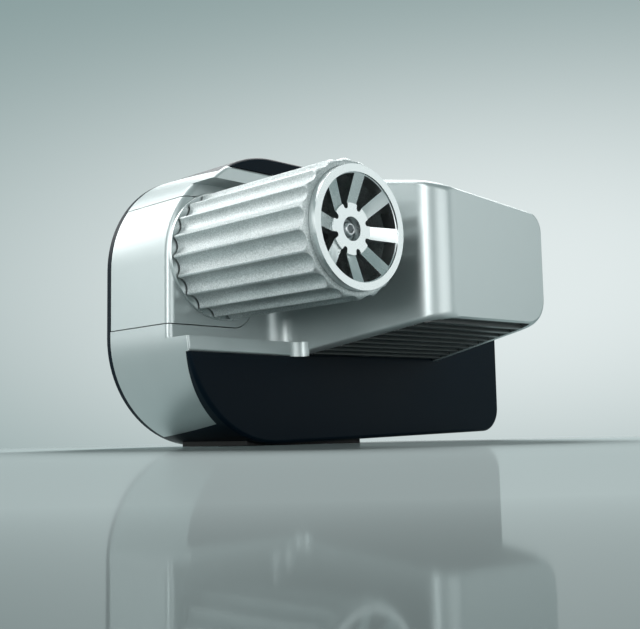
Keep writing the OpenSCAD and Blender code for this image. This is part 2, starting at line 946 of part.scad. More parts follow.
module motor_flange() {
    color(cast) place() difference() {
        round_x(flange_d, x_case_front, x_motor, y_motor);
        round_x(motor_shaft_d + 2 * run_clear, x_case_front - 1, x_motor + 1, y_motor);
        for (p = flange_screw_places) round_x(flange_screw_d, x_case_front - 1, x_motor + 1, p[0], p[1]);
    }
}

module motor_screws() {
    color(steel) place() for (p = flange_screw_places) {
        round_x(flange_screw_d, x_case_front - flange_screw_grip, x_motor + eps, p[0], p[1]);
        round_x(flange_screw_head, x_motor, x_motor + flange_screw_head_h, p[0], p[1]);
    }
}

motor_wall = 5;
motor_end_t = 8;
shaft_tail = 5;
air_gap = 0.8;
winding_space = 6;
x_motor_in = x_motor + motor_end_t;
x_motor_out = x_motor + motor_len - motor_end_t;

module drive_motor() {
    color(steel) place() difference() {
        round_x(motor_d, x_motor, x_motor + motor_len, y_motor);
        round_x(motor_d - 2 * motor_wall, x_motor_in, x_motor_out, y_motor);
        round_x(motor_shaft_d + 2 * run_clear, x_motor - 1,
                x_motor_out + shaft_tail + end_play, y_motor);
    }
}

module motor_armature() {
    x0 = x_motor_in + winding_space;
    x1 = x_motor_out - winding_space;
    color(steel) place() difference() {
        round_x(motor_d - 2 * motor_wall - 2 * air_gap, x0, x1, y_motor);
        round_x(motor_shaft_d, x0 - 1, x1 + 1, y_motor);
    }
}

bell_inset = 2;
bell_t = 8;
brush_d = 10;
brush_h = 2;

module motor_end_bell() {
    x0 = x_motor + motor_len;
    color(black) place() {
        round_x(motor_d - 2 * bell_inset, x0, x0 + bell_t, y_motor);
        for (s = [-1, 1])
            round_x(brush_d, x0 + bell_t - eps, x0 + bell_t + brush_h, y_motor + s * motor_d / 4);
    }
}

module motor_shaft() {
    color(steel) place()
        round_x(motor_shaft_d, x_cavity_back - shaft_blind + end_play,
                x_motor_out + shaft_tail, y_motor);
}

module motor_pinion() {
    color(steel) place() gear(pinion_teeth, x_gear_b, y_motor, motor_shaft_d, true);
}

module guide_bushes() {
    y1 = lug_y0 + lug_len;
    color(brass) place() for (z = [rod_top, -rod_low]) for (y = [lug_y0, y1 - bush_len])
        difference() {
            round_y(rod_d + 2 * bush_wall, y, y + bush_len, x_rod, z);
            round_y(rod_d + 2 * run_clear, y - 1, y + bush_len + 1, x_rod, z);
        }
}

module spindle_nut() {
    y1 = lug_y0 + lug_len;
    color(brass) place() difference() {
        union() {
            round_y(nut_d, y1 - nut_len, y1 + eps, x_rod, -spindle_low);
            round_y(nut_d + 2 * nut_flange, y1, y1 + nut_flange, x_rod, -spindle_low);
        }
        round_y(spindle_play, y1 - nut_len - 1, y1 + nut_flange + 1, x_rod, -spindle_low);
    }
}

module idler_gear() {
    color(steel) place() difference() {
        union() {
            gear(idler_teeth, x_gear_a, y_idler, pin_d);
            round_x(pin_head_d + 2, x_gear_a + gear_w - eps, x_cavity_front - end_play, y_idler);
        }
        round_x(pin_d + 2 * run_clear, x_gear_a - 1, x_cavity_front + 1, y_idler);
    }
}

compound_hub_d = 18;

module compound_gear() {
    color(steel) place() difference() {
        union() {
            gear(large_teeth, x_gear_b, y_compound, pin_d);
            gear(small_teeth, x_gear_a, y_compound, pin_d, true);
            round_x(compound_hub_d, x_cavity_back + end_play, x_cavity_front - end_play, y_compound);
        }
        round_x(pin_d + 2 * run_clear, x_cavity_back, x_cavity_front + 1, y_compound);
    }
}

// Roller with its shaft, gear and spoked end cap, as the photograph shows them turned
drum_turn = -2.5;
x_cap_back = -cap_t;
flute_axis = roller_d / 2 - flute_depth + flute_r;
x_flute_end = x_roller_front - flute_stop;

module flute() {
    round_x(2 * flute_r, x_roller_back - 1, x_flute_end, 0, flute_axis);
    translate([x_flute_end, 0, flute_axis]) sphere(r = flute_r);
}

// Roller before its flutes are cut, with a round shoulder at the free end
module roller_blank() {
    r = roller_d / 2;
    translate([x_roller_back, 0, 0]) rotate([0, 90, 0]) rotate_extrude() {
        square([r - shoulder_r, roller_len]);
        square([r, roller_len - shoulder_r]);
        translate([r - shoulder_r, roller_len - shoulder_r]) circle(r = shoulder_r);
    }
}

module roller() {
    color(cast) place() rotate([drum_turn, 0, 0]) difference() {
        roller_blank();
        round_x(roller_bore, x_roller_back + roller_web, 1);
        round_x(cap_d, x_cap_back, 1);
        round_x(shaft_d, x_roller_back - 1, x_roller_back + roller_web + 1);
        for (i = [0:flute_count - 1]) rotate([i * 360 / flute_count, 0, 0]) flute();
    }
}

x_hub = -hub_sink;
x_hub_back = x_hub - hub_t;
collar_d = 20;

module roller_shaft() {
    color(steel) place() difference() {
        union() {
            round_x(shaft_d, x_cavity_back + end_play, x_hub_back);
            round_x(collar_d, x_cavity_back + bearing_w + end_play, x_front_bearing - end_play);
        }
        round_x(screw_d, x_screw_seat - screw_len, x_hub_back + 1);
    }
}

module roller_gear() {
    color(steel) place() gear(roller_teeth, x_gear_a, 0, collar_d);
}

cap_rim_in = cap_d / 2 - cap_rim_w;
window_lip = 0.5;
hub_raise = 0.8;
spoke_lap = 1;
tip_r = 13.3;
screw_sink = 1;
x_screw_seat = x_hub - screw_sink - screw_head_h;
spoke_slope = (hub_sink + hub_raise - spoke_sink) / (cap_rim_in - hub_d / 2);
function spoke_at(r) = -spoke_sink - (cap_rim_in - r) * spoke_slope;
function window_half(r) = r * sin(180 / spoke_count) - spoke_w / 2;

module cap_window() {
    intersection() {
        circle(r = cap_rim_in - window_lip);
        union() {
            translate([tip_r, 0]) circle(r = window_half(tip_r));
            polygon([[tip_r, -window_half(tip_r)], [cap_d / 2, -window_half(cap_d / 2)],
                     [cap_d / 2, window_half(cap_d / 2)], [tip_r, window_half(tip_r)]]);
        }
    }
}

// Rim, slanted spokes and the hub behind them, before the windows are cut
module cap_blank() {
    r0 = hub_d / 2 - spoke_lap;
    r1 = cap_rim_in + spoke_lap;
    rotate([0, 90, 0]) rotate_extrude() {
        translate([cap_rim_in, x_cap_back]) square([cap_rim_w, cap_t]);
        translate([0, x_hub_back]) square([hub_d / 2, hub_t]);
        polygon([[r0, spoke_at(r0)], [r0, spoke_at(r0) - spoke_t],
                 [r1, spoke_at(r1) - spoke_t], [r1, spoke_at(r1)]]);
    }
}

module end_cap() {
    color(silver) place() rotate([drum_turn, 0, 0]) difference() {
        cap_blank();
        along_x(x_hub_back - 1, 1)
            for (i = [0:spoke_count - 1]) rotate((i + 0.5) * 360 / spoke_count) cap_window();
        round_x(screw_recess_d, x_screw_seat, 1);
        round_x(screw_d, x_hub_back - 1, x_screw_seat + 1);
    }
}

socket_d = 6;
socket_depth = 3;

module cap_screw() {
    x_head = x_screw_seat + screw_head_h;
    color(steel) place() difference() {
        union() {
            round_x(screw_head_d, x_screw_seat, x_head);
            round_x(screw_d, x_screw_seat - screw_len, x_screw_seat + eps);
        }
        translate([x_head - socket_depth, 0, 0]) rotate([0, 90, 0])
            cylinder(d = socket_d, h = socket_depth + 1, $fn = 6);
    }
}

back_housing();
front_cover();
upper_shell();
lower_shell();
motor_cover();
cooling_grille();
foot();
frame_plate();
mount_bushes();
cable_grommet();
cover_screws();
upper_guide_rod();
lower_guide_rod();
rod_blocks();
spindle_bearing();
engage_gearbox();
engage_motor();
carriage_shell();
shield_disc();
gear_case();
gear_case_cover();
motor_screws();
front_bearing();
rear_bearing();
idler_pin();
compound_pin();
motor_flange();
drive_motor();
motor_end_bell();
guide_bushes();
spindle_nut();
roller();
roller_shaft();
roller_gear();
end_cap();
cap_screw();
idler_gear();
compound_gear();
motor_shaft();
motor_armature();
motor_pinion();
spindle();
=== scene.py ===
import json
import math

import bmesh
import bpy
from mathutils import Matrix, Vector


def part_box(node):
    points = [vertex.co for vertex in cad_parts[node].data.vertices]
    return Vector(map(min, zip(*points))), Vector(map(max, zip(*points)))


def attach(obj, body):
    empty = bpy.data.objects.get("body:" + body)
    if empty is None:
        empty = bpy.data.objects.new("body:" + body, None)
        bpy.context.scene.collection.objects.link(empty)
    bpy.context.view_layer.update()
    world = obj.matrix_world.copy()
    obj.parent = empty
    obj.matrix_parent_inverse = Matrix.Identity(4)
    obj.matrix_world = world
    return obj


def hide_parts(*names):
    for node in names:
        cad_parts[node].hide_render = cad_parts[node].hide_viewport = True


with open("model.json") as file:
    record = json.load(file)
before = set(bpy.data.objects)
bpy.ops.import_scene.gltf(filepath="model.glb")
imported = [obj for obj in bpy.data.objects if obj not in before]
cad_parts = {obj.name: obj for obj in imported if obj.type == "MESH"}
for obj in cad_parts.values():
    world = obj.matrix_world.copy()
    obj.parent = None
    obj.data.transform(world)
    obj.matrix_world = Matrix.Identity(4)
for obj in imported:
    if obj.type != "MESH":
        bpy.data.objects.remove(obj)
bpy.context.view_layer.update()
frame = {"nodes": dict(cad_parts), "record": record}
nodes = frame["nodes"]
scene = bpy.context.scene
scene.view_settings.view_transform = "Standard"

MM = 0.001

# Places taken from the CAD
disc_lo, disc_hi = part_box("shield_disc")
front_lo, front_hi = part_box("front_cover")
back_lo, back_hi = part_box("back_housing")
# Middle of the front of the end cap, on the roller axis
AXIS = Vector((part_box("end_cap")[1].x, (disc_lo.y + disc_hi.y) / 2, (disc_lo.z + disc_hi.z) / 2))
# Front of the housing, the plane of its mouth and its middle
MOUTH_GAP = 0.5 * MM
X_FRONT = front_hi.x
X_MOUTH = disc_lo.x - MOUTH_GAP
HOUSING_MIDDLE = (front_lo + front_hi) / 2
# Tyre side of the housing: two large corners with a flat side between them
CORNER_R = 70 * MM
Y_CORNER = back_lo.y + CORNER_R
Z_CORNERS = (back_lo.z + CORNER_R, back_hi.z - CORNER_R)


# Camera: solved from the photograph's straight edges and the rim of the end cap
CAMERA_PLACE = Vector((475.26, -522.73, 4.91)) * MM
CAMERA_RIGHT = Vector((0.6976, 0.7162, -0.0192))
CAMERA_UP = Vector((0.0966, -0.0674, 0.9930))
CAMERA_FORWARD = Vector((-0.7100, 0.6946, 0.1162))
CAMERA_CLIP = (0.01, 50)
FOCAL_PX = 1043.0
PHOTO_W = 640
SENSOR = 36.0


def make_camera():
    data = bpy.data.cameras.new("camera")
    data.sensor_width = SENSOR
    data.lens = FOCAL_PX * SENSOR / PHOTO_W
    data.clip_start, data.clip_end = CAMERA_CLIP
    cam = bpy.data.objects.new("camera", data)
    scene.collection.objects.link(cam)
    turn = Matrix((CAMERA_RIGHT, CAMERA_UP, -CAMERA_FORWARD)).transposed()
    cam.matrix_world = Matrix.Translation(CAMERA_PLACE) @ turn.to_4x4()
    scene.camera = cam


def level(direction):
    """The direction laid flat on the floor."""
    return Vector((direction.x, direction.y, 0)).normalized()


# Shader nodes
NOISE_LOW = 0.3
NOISE_HIGH = 0.7


def new_material(name):
    mat = bpy.data.materials.new(name)
    mat.use_nodes = True
    tree = mat.node_tree
    shader = tree.nodes["Principled BSDF"]
    return mat, tree, shader


def object_coords(tree):
    return tree.nodes.new("ShaderNodeTexCoord").outputs["Object"]


def noise(tree, coords, scale, detail, rough=0.5):
    node = tree.nodes.new("ShaderNodeTexNoise")
    node.inputs["Scale"].default_value = scale
    node.inputs["Detail"].default_value = detail
    node.inputs["Roughness"].default_value = rough
    tree.links.new(coords, node.inputs["Vector"])
    return node.outputs["Fac"]


def spread(tree, value, low, high, start=NOISE_LOW, end=NOISE_HIGH, smooth=False):
    """Takes a value's range from start to end over to low to high."""
    node = tree.nodes.new("ShaderNodeMapRange")
    node.inputs["From Min"].default_value = start
    node.inputs["From Max"].default_value = end
    node.inputs["To Min"].default_value = low
    node.inputs["To Max"].default_value = high
    if smooth:
        node.interpolation_type = "SMOOTHSTEP"
    tree.links.new(value, node.inputs["Value"])
    return node.outputs["Result"]


def mix_colour(tree, fac, a, b):
    node = tree.nodes.new("ShaderNodeMix")
    node.data_type = "RGBA"
    node.inputs["A"].default_value = (*a, 1)
    node.inputs["B"].default_value = (*b, 1)
    tree.links.new(fac, node.inputs["Factor"])
    return node.outputs["Result"]


def mix_shader(tree, a, b):
    node = tree.nodes.new("ShaderNodeMixShader")
    tree.links.new(a, node.inputs[1])
    tree.links.new(b, node.inputs[2])
    return node


def vector_math(tree, operation, a, b=None):
    node = tree.nodes.new("ShaderNodeVectorMath")
    node.operation = operation
    tree.links.new(a, node.inputs[0])
    if b is not None:
        node.inputs[1].default_value = b
    return node.outputs["Value" if operation in ("LENGTH", "DOT_PRODUCT") else "Vector"]


def math_node(tree, operation, a, b=None):
    node = tree.nodes.new("ShaderNodeMath")
    node.operation = operation
    tree.links.new(a, node.inputs[0])
    if isinstance(b, (int, float)):
        node.inputs[1].default_value = b
    elif b is not None:
        tree.links.new(b, node.inputs[1])
    return node.outputs["Value"]


def bump(tree, shader, height, distance, strength=1.0):
    node = tree.nodes.new("ShaderNodeBump")
    node.inputs["Distance"].default_value = distance
    node.inputs["Strength"].default_value = strength
    tree.links.new(height, node.inputs["Height"])
    tree.links.new(node.outputs["Normal"], shader.inputs["Normal"])


def colour_by_tone(tree, shader, tone, dark, light, rough):
    colour = mix_colour(tree, spread(tree, tone, 0.0, 1.0), dark, light)
    tree.links.new(colour, shader.inputs["Base Color"])
    tree.links.new(spread(tree, tone, rough[0], rough[1]), shader.inputs["Roughness"])


# Finishes
TONE_DETAIL = 3.0
GRAIN_DETAIL = 2.0
GRAIN_ROUGH = 0.6
RING_PITCH = 0.35 * MM
RING_DEPTH = 0.004 * MM
RING_STRENGTH = 0.6
RING_TONE_SCALE = 60.0


def surface(name, dark, light, rough, metallic, tone_scale, grain_scale, grain_depth,
            coat=0.0, coat_rough=0.1, speckle=0.0, specular=0.5):
    """A finish whose colour and roughness drift with a broad noise and a share of a fine grain."""
    mat, tree, shader = new_material(name)
    coords = object_coords(tree)
    grain = noise(tree, coords, grain_scale, GRAIN_DETAIL, GRAIN_ROUGH)
    broad = noise(tree, coords, tone_scale, TONE_DETAIL)
    tone = math_node(tree, "ADD",
                     math_node(tree, "MULTIPLY", broad, 1 - speckle),
                     math_node(tree, "MULTIPLY", grain, speckle))
    colour_by_tone(tree, shader, tone, dark, light, rough)
    shader.inputs["Metallic"].default_value = metallic
    shader.inputs["Coat Weight"].default_value = coat
    shader.inputs["Coat Roughness"].default_value = coat_rough
    shader.inputs["Specular IOR Level"].default_value = specular
    bump(tree, shader, grain, grain_depth)
    return mat


def turned_metal(name, dark, light, rough):
    """Bright turned metal with fine rings round the roller axis."""
    mat, tree, shader = new_material(name)
    coords = object_coords(tree)
    shift = vector_math(tree, "SUBTRACT", coords, AXIS)
    flat = vector_math(tree, "MULTIPLY", shift, (0, 1, 1))
    away = vector_math(tree, "LENGTH", flat)
    turns = math_node(tree, "MULTIPLY", away, 2 * math.pi / RING_PITCH)
    tone = noise(tree, coords, RING_TONE_SCALE, GRAIN_DETAIL)
    colour_by_tone(tree, shader, tone, dark, light, rough)
    shader.inputs["Metallic"].default_value = 1.0
    bump(tree, shader, math_node(tree, "SINE", turns), RING_DEPTH, RING_STRENGTH)
    return mat


FINISHES = {
    "silver_paint": surface(
        "silver_paint", dark=(0.55, 0.60, 0.60), light=(0.60, 0.65, 0.65), rough=(0.36, 0.42),
        metallic=0.75, tone_scale=9.0, grain_scale=2600.0, grain_depth=0.012 * MM,
        coat=0.1, coat_rough=0.25),
    "dark_plastic": surface(
        "navy_plastic", dark=(0.0018, 0.0075, 0.0140), light=(0.0028, 0.0095, 0.0175), rough=(0.34, 0.42),
        metallic=0.0, tone_scale=14.0, grain_scale=1800.0, grain_depth=0.02 * MM, specular=0.1),
    "black_plastic": surface(
        "black_plastic", dark=(0.006, 0.008, 0.009), light=(0.012, 0.014, 0.015), rough=(0.24, 0.32),
        metallic=0.0, tone_scale=20.0, grain_scale=1500.0, grain_depth=0.02 * MM, specular=0.6),
    "cast_aluminium": surface(
        "cast_aluminium", dark=(0.42, 0.46, 0.46), light=(0.80, 0.84, 0.84), rough=(0.40, 0.56),
        metallic=0.75, tone_scale=40.0, grain_scale=1100.0, grain_depth=0.22 * MM, speckle=0.8),
    "steel": surface(
        "ground_steel", dark=(0.50, 0.51, 0.52), light=(0.60, 0.61, 0.62), rough=(0.25, 0.36),
        metallic=1.0, tone_scale=50.0, grain_scale=1400.0, grain_depth=0.01 * MM),
    "zinc_steel": surface(
        "zinc_steel", dark=(0.55, 0.56, 0.57), light=(0.66, 0.67, 0.68), rough=(0.28, 0.42),
        metallic=1.0, tone_scale=120.0, grain_scale=700.0, grain_depth=0.02 * MM),
    "bronze": surface(
        "sintered_bronze", dark=(0.42, 0.29, 0.13), light=(0.58, 0.42, 0.21), rough=(0.32, 0.45),
        metallic=1.0, tone_scale=90.0, grain_scale=1600.0, grain_depth=0.03 * MM),
    "rubber": surface(
        "black_rubber", dark=(0.012, 0.012, 0.012), light=(0.024, 0.024, 0.024), rough=(0.62, 0.75),
        metallic=0.0, tone_scale=60.0, grain_scale=900.0, grain_depth=0.05 * MM),
    "machined_aluminium": turned_metal(
        "turned_aluminium", dark=(0.68, 0.71, 0.71), light=(0.78, 0.81, 0.81), rough=(0.24, 0.32)),
}
# The ribs get a lighter copy of the black plastic: painted light for their lit edges
PAINTED_LIGHT_RIBS = surface(
    "rib_plastic_painted_light", dark=(0.050, 0.056, 0.056), light=(0.075, 0.082, 0.082), rough=(0.28, 0.36),
    metallic=0.0, tone_scale=20.0, grain_scale=1500.0, grain_depth=0.02 * MM)
SLOT_OF = {p["node"]: p["material_slot"] for p in frame["record"]["subparts"]}
BODY_OF = {n: b for b, members in frame["record"]["behaviour"]["bodies"].items() for n in members}


def finish_of(node):
    # The cooling grille takes the lighter rib finish, with its painted light
    return PAINTED_LIGHT_RIBS if node == "cooling_grille" else FINISHES[SLOT_OF[node]]


def paint_nodes():
    for name, obj in nodes.items():
        obj.data.materials.clear()
        obj.data.materials.append(finish_of(name))


# Pieces that stand for a node
def seat(obj, node):
    obj.data.materials.clear()
    obj.data.materials.append(finish_of(node))
    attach(obj, BODY_OF[node])
    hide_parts(node)
    return obj


def add_object(name, bm):
    mesh = bpy.data.meshes.new(name)
    bm.to_mesh(mesh)
    bm.free()
    obj = bpy.data.objects.new(name, mesh)
    scene.collection.objects.link(obj)
    return obj


def smooth_faces(bm, sharp_angle):
    """Smooth faces, split at edges that bend by more than the angle."""
    for face in bm.faces:
        face.smooth = True
    for edge in bm.edges:
        if len(edge.link_faces) == 2 and edge.calc_face_angle(0) > sharp_angle:
            edge.smooth = False


# Rounds on the edges of the covers: all sharp edges, and larger ones round the front and the mouth
EDGE_ROUNDS = {
    "front_cover": 0.6 * MM, "upper_shell": 0.6 * MM, "lower_shell": 0.6 * MM, "motor_cover": 0.6 * MM,
    "carriage_shell": 0.4 * MM, "back_housing": 0.7 * MM, "cooling_grille": 0.4 * MM, "foot": 0.5 * MM,
    "shield_disc": 0.4 * MM, "end_cap": 0.4 * MM,
}
SHELL_ROUNDS = ((X_MOUTH, 4.0 * MM), (X_FRONT, 2.0 * MM))
FRONT_ROUNDS = ((X_FRONT, 2.6 * MM),)
WIDE_ROUNDS = {"front_cover": FRONT_ROUNDS, "upper_shell": SHELL_ROUNDS, "lower_shell": SHELL_ROUNDS}
WIDE_STEPS = 5
EDGE_STEPS = 3
EDGE_ANGLE = math.radians(28)
FLAT_ANGLE = math.radians(0.4)
WELD = 0.002 * MM
SLIVER = 0.01 * MM
# An outer edge lies on the plane, between a face that looks forward and one that looks out of the housing
ON_PLANE = 0.05 * MM
LOOKS_FORWARD = 0.9
LOOKS_ASIDE = 0.3
LEAST_OUT = 20 * MM
LEAST_OFF_AXIS = -1 * MM
# The round tyre side gives its own normals to faces on it
ON_SKIN = 0.06 * MM
SKIN_ANGLE = math.radians(35)
SMOOTH_ANGLE = math.radians(32)


def outer_edges(bm, x):
    """Edges between the face at x that looks forward and the outside of the housing."""
    found = []
    for edge in bm.edges:
        if len(edge.link_faces) != 2 or any(abs(v.co.x - x) > ON_PLANE for v in edge.verts):
            continue
        aside, forward = [f.normal for f in sorted(edge.link_faces, key=lambda f: f.normal.x)]
        if forward.x < LOOKS_FORWARD or abs(aside.x) > LOOKS_ASIDE:
            continue
        middle = (edge.verts[0].co + edge.verts[1].co) / 2
        off_axis = aside.z * (middle.z - AXIS.z)
        if aside.dot(middle - HOUSING_MIDDLE) > LEAST_OUT and off_axis > LEAST_OFF_AXIS:
            found.append(edge)
    return found


def skin_normal(place):
    """Normal of the housing's round tyre side, or None off it."""
    if place.y > Y_CORNER + ON_SKIN:
        return None
    z_middle = min(max(place.z, Z_CORNERS[0]), Z_CORNERS[1])
    away = Vector((0, place.y - Y_CORNER, place.z - z_middle))
    if abs(away.length - CORNER_R) > ON_SKIN:
        return None
    return away.normalized()


def flowing_normal(face, vert, areas):
    """Mean normal of the faces at a corner that flow on from its face."""
    normal = Vector()
    for other in vert.link_faces:
        if face.normal.angle(other.normal, math.pi) < SMOOTH_ANGLE:
            normal += other.normal * areas[other]
    return normal.normalized() if normal.length > 0 else face.normal.copy()


def corner_normals(bm):
    """A normal for each face corner: that of the round side, or a mean of the faces that flow on."""
    normals = []
    areas = {face: face.calc_area() for face in bm.faces}
    for face in bm.faces:
        for vert in face.verts:
            normal = skin_normal(vert.co)
            if normal is None or face.normal.angle(normal, math.pi) > SKIN_ANGLE:
                normal = flowing_normal(face, vert, areas)
            normals.append(normal)
    return normals


def softened(node, width, wide):
    """The node's own shape with its sharp edges rounded off; wide lists (x, width) of larger rounds."""
    bm = bmesh.new()
    bm.from_mesh(nodes[node].data)
    bmesh.ops.remove_doubles(bm, verts=bm.verts, dist=WELD)
    bmesh.ops.dissolve_limit(bm, angle_limit=FLAT_ANGLE, verts=bm.verts, edges=bm.edges)
    for x, round_width in wide:
        bmesh.ops.bevel(bm, geom=outer_edges(bm, x), offset=round_width, segments=WIDE_STEPS, profile=0.5,
                        affect="EDGES", clamp_overlap=False)
    sharp = [e for e in bm.edges if len(e.link_faces) == 2 and e.calc_face_angle(0) > EDGE_ANGLE]
    bmesh.ops.bevel(bm, geom=sharp, offset=width, segments=EDGE_STEPS, profile=0.5,
                    affect="EDGES", clamp_overlap=True)
    bmesh.ops.dissolve_degenerate(bm, dist=SLIVER, edges=bm.edges)
    bm.normal_update()
    smooth_faces(bm, SMOOTH_ANGLE)
    normals = corner_normals(bm)
    obj = add_object(node + "_finish", bm)
    obj.data.normals_split_custom_set(normals)
    seat(obj, node)


# Roller: the CAD's flutes with rounded crests, turned as the CAD turns them
FLUTES = 20
ROLLER_R = 40 * MM
CUTTER_R = 6.5 * MM
FLUTE_DEPTH = 3.4 * MM
FLUTE_STOP = 4.5 * MM
SHOULDER_R = 3.2 * MM
DRUM_TURN = math.radians(-2.5)
CREST_BLEND = 0.35 * MM
CAP_SEAT_R = 35.3 * MM
CAP_SEAT_DEPTH = 6 * MM
CAP_SEAT_CHAMFER = 0.3 * MM
BORE_R = 31 * MM
SHAFT_R = 8.5 * MM
WEB = 12 * MM
STEPS_PER_FLUTE = 24
LENGTH_STEPS = 8
STOP_STEPS = 6
SHOULDER_STEPS = 14
ROLLER_SHARP = math.radians(40)


def smooth_min(a, b, k):
    h = max(k - abs(a - b), 0) / k
    return min(a, b) - h * h * k / 4


def flute_radius(past, angle, blank):
    """Outer radius of the roller past a flute's end centre and an angle off its middle."""
    centre = ROLLER_R - FLUTE_DEPTH + CUTTER_R
    side = centre * math.sin(angle)
    room = CUTTER_R ** 2 - past ** 2 - side ** 2
    if room <= 0:
        edge = math.sqrt(past ** 2 + side ** 2) - CUTTER_R
        return smooth_min(blank, centre * math.cos(angle) + 2 * edge, CREST_BLEND)
    return smooth_min(blank, centre * math.cos(angle) - math.sqrt(room), CREST_BLEND)


def ring(bm, x, steps, copies, radius_at):
    """A ring round the roller axis; radius_at takes the angle off the middle of the nearest copy."""
    pitch = 2 * math.pi / copies
    row = []
    for i in range(steps):
        a = 2 * math.pi * i / steps
        r = radius_at((a + pitch / 2) % pitch - pitch / 2)
        turn = a - DRUM_TURN
        row.append(bm.verts.new((x, AXIS.y + r * math.sin(turn), AXIS.z + r * math.cos(turn))))
    return row


def skin(bm, rings, sharp_angle):
    """Faces between rings that follow each other, smooth but for the sharp edges."""
    for a, b in zip(rings, rings[1:]):
        for i in range(len(a)):
            j = (i + 1) % len(a)
            bm.faces.new((a[i], a[j], b[j], b[i]))
    bmesh.ops.recalc_face_normals(bm, faces=bm.faces)
    smooth_faces(bm, sharp_angle)


def roller_outside(x0, x1):
    """Place along the axis and radius of the plain drum, from its back to its front."""
    x_stop = x1 - FLUTE_STOP
    x_shoulder = x1 - SHOULDER_R
    rows = [(x0 + (x_stop - x0) * i / LENGTH_STEPS, ROLLER_R) for i in range(LENGTH_STEPS + 1)]
    rows += [(x_stop + (x_shoulder - x_stop) * i / STOP_STEPS, ROLLER_R) for i in range(1, STOP_STEPS + 1)]
    for i in range(1, SHOULDER_STEPS + 1):
        t = math.pi / 2 * i / SHOULDER_STEPS
        rows.append((x_shoulder + SHOULDER_R * math.sin(t), ROLLER_R - SHOULDER_R * (1 - math.cos(t))))
    return rows


def roller_inside(x0, x1):
    """Place along the axis and radius of the cap's seat, the hollow and the shaft's hole."""
    x_seat = x1 - CAP_SEAT_DEPTH
    return ((x1, CAP_SEAT_R + CAP_SEAT_CHAMFER), (x1 - CAP_SEAT_CHAMFER, CAP_SEAT_R), (x_seat, CAP_SEAT_R),
            (x_seat, BORE_R), (x0 + WEB, BORE_R), (x0 + WEB, SHAFT_R), (x0, SHAFT_R))


def make_roller():
    lo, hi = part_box("roller")
    x_stop = hi.x - FLUTE_STOP
    around = FLUTES * STEPS_PER_FLUTE
    bm = bmesh.new()
    rings = []
    for x, blank in roller_outside(lo.x, hi.x):
        past = max(0.0, x - x_stop)
        rings.append(ring(bm, x, around, FLUTES, lambda off: flute_radius(past, off, blank)))
    for x, r in roller_inside(lo.x, hi.x):
        rings.append(ring(bm, x, around, FLUTES, lambda off: r))
    rings.append(rings[0])
    skin(bm, rings, ROLLER_SHARP)
    seat(add_object("roller_fluted", bm), "roller")


# Screw in the end cap: a flange at the foot of its recess, a domed head and a hexagon socket
SCREW_R = 4 * MM
SCREW_TIP_CHAMFER = 0.6 * MM
SCREW_HEAD_H = 5 * MM
FLANGE_R = 6.5 * MM
FLANGE_H = 1.4 * MM
FLANGE_CHAMFER = 0.3 * MM
DOME_R = 4.7 * MM
DOME_TOP_R = 2.9 * MM
DOME_STEPS = 8
SOCKET_SIDES = 6
SOCKET_FLAT = 2.2 * MM
SOCKET_DEPTH = 2.6 * MM
SOCKET_FLARE = 0.15 * MM
SOCKET_FLARE_DEPTH = 0.2 * MM
CLOSING_R = 0.2 * MM
SCREW_STEPS = 72
SCREW_SHARP = math.radians(25)


def screw_outside(x_tip, x_top):
    """Place along the axis and radius, from the tip to the edge of the socket."""
    x_seat = x_top - SCREW_HEAD_H
    x_flange = x_seat + FLANGE_H
    rows = [(x_tip, CLOSING_R), (x_tip, SCREW_R - SCREW_TIP_CHAMFER), (x_tip + SCREW_TIP_CHAMFER, SCREW_R),
            (x_seat, SCREW_R), (x_seat, FLANGE_R), (x_flange - FLANGE_CHAMFER, FLANGE_R),
            (x_flange, FLANGE_R - FLANGE_CHAMFER), (x_flange, DOME_R)]
    for i in range(1, DOME_STEPS + 1):
        t = math.pi / 2 * i / DOME_STEPS
        rows.append((x_flange + (x_top - x_flange) * math.sin(t),
                     DOME_TOP_R + (DOME_R - DOME_TOP_R) * math.cos(t)))
    return rows


def make_cap_screw():
    lo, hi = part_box("cap_screw")
    x_floor = hi.x - SOCKET_DEPTH
    bm = bmesh.new()
    rings = []
    for x, r in screw_outside(lo.x, hi.x):
        rings.append(ring(bm, x, SCREW_STEPS, SOCKET_SIDES, lambda off: r))
    for x, flat in ((hi.x, SOCKET_FLAT + SOCKET_FLARE), (hi.x - SOCKET_FLARE_DEPTH, SOCKET_FLAT),
                    (x_floor, SOCKET_FLAT), (x_floor, CLOSING_R)):
        rings.append(ring(bm, x, SCREW_STEPS, SOCKET_SIDES, lambda off: flat / math.cos(off)))
    bm.faces.new(rings[0])
    bm.faces.new(rings[-1])
    skin(bm, rings, SCREW_SHARP)
    seat(add_object("cap_screw_head", bm), "cap_screw")


# Floor: pale and glossy, with painted shade that darkens it close to the camera; depths run from the part
# away from the camera
FLOOR_R = 5.0
FLOOR_SIDES = 96
FLOOR_REACH = (0.80, 1.60)
FLOOR_FADE = (-0.06, 0.30)
FLOOR_SHADE_DEPTHS = (-0.685, -0.60)
FLOOR_PALE = (0.80, 0.94, 0.94)
FLOOR_PAINTED_SHADE = (0.10, 0.14, 0.14)
FLOOR_GLOSS = 0.22
FLOOR_GLOSS_TINT = (0.86, 0.92, 0.92, 1)
FLOOR_GLOSS_ROUGH = 0.05
CLOUD_SCALE = 5.0
CLOUD_DETAIL = 3.0
CLOUD_SHIFT = 0.04


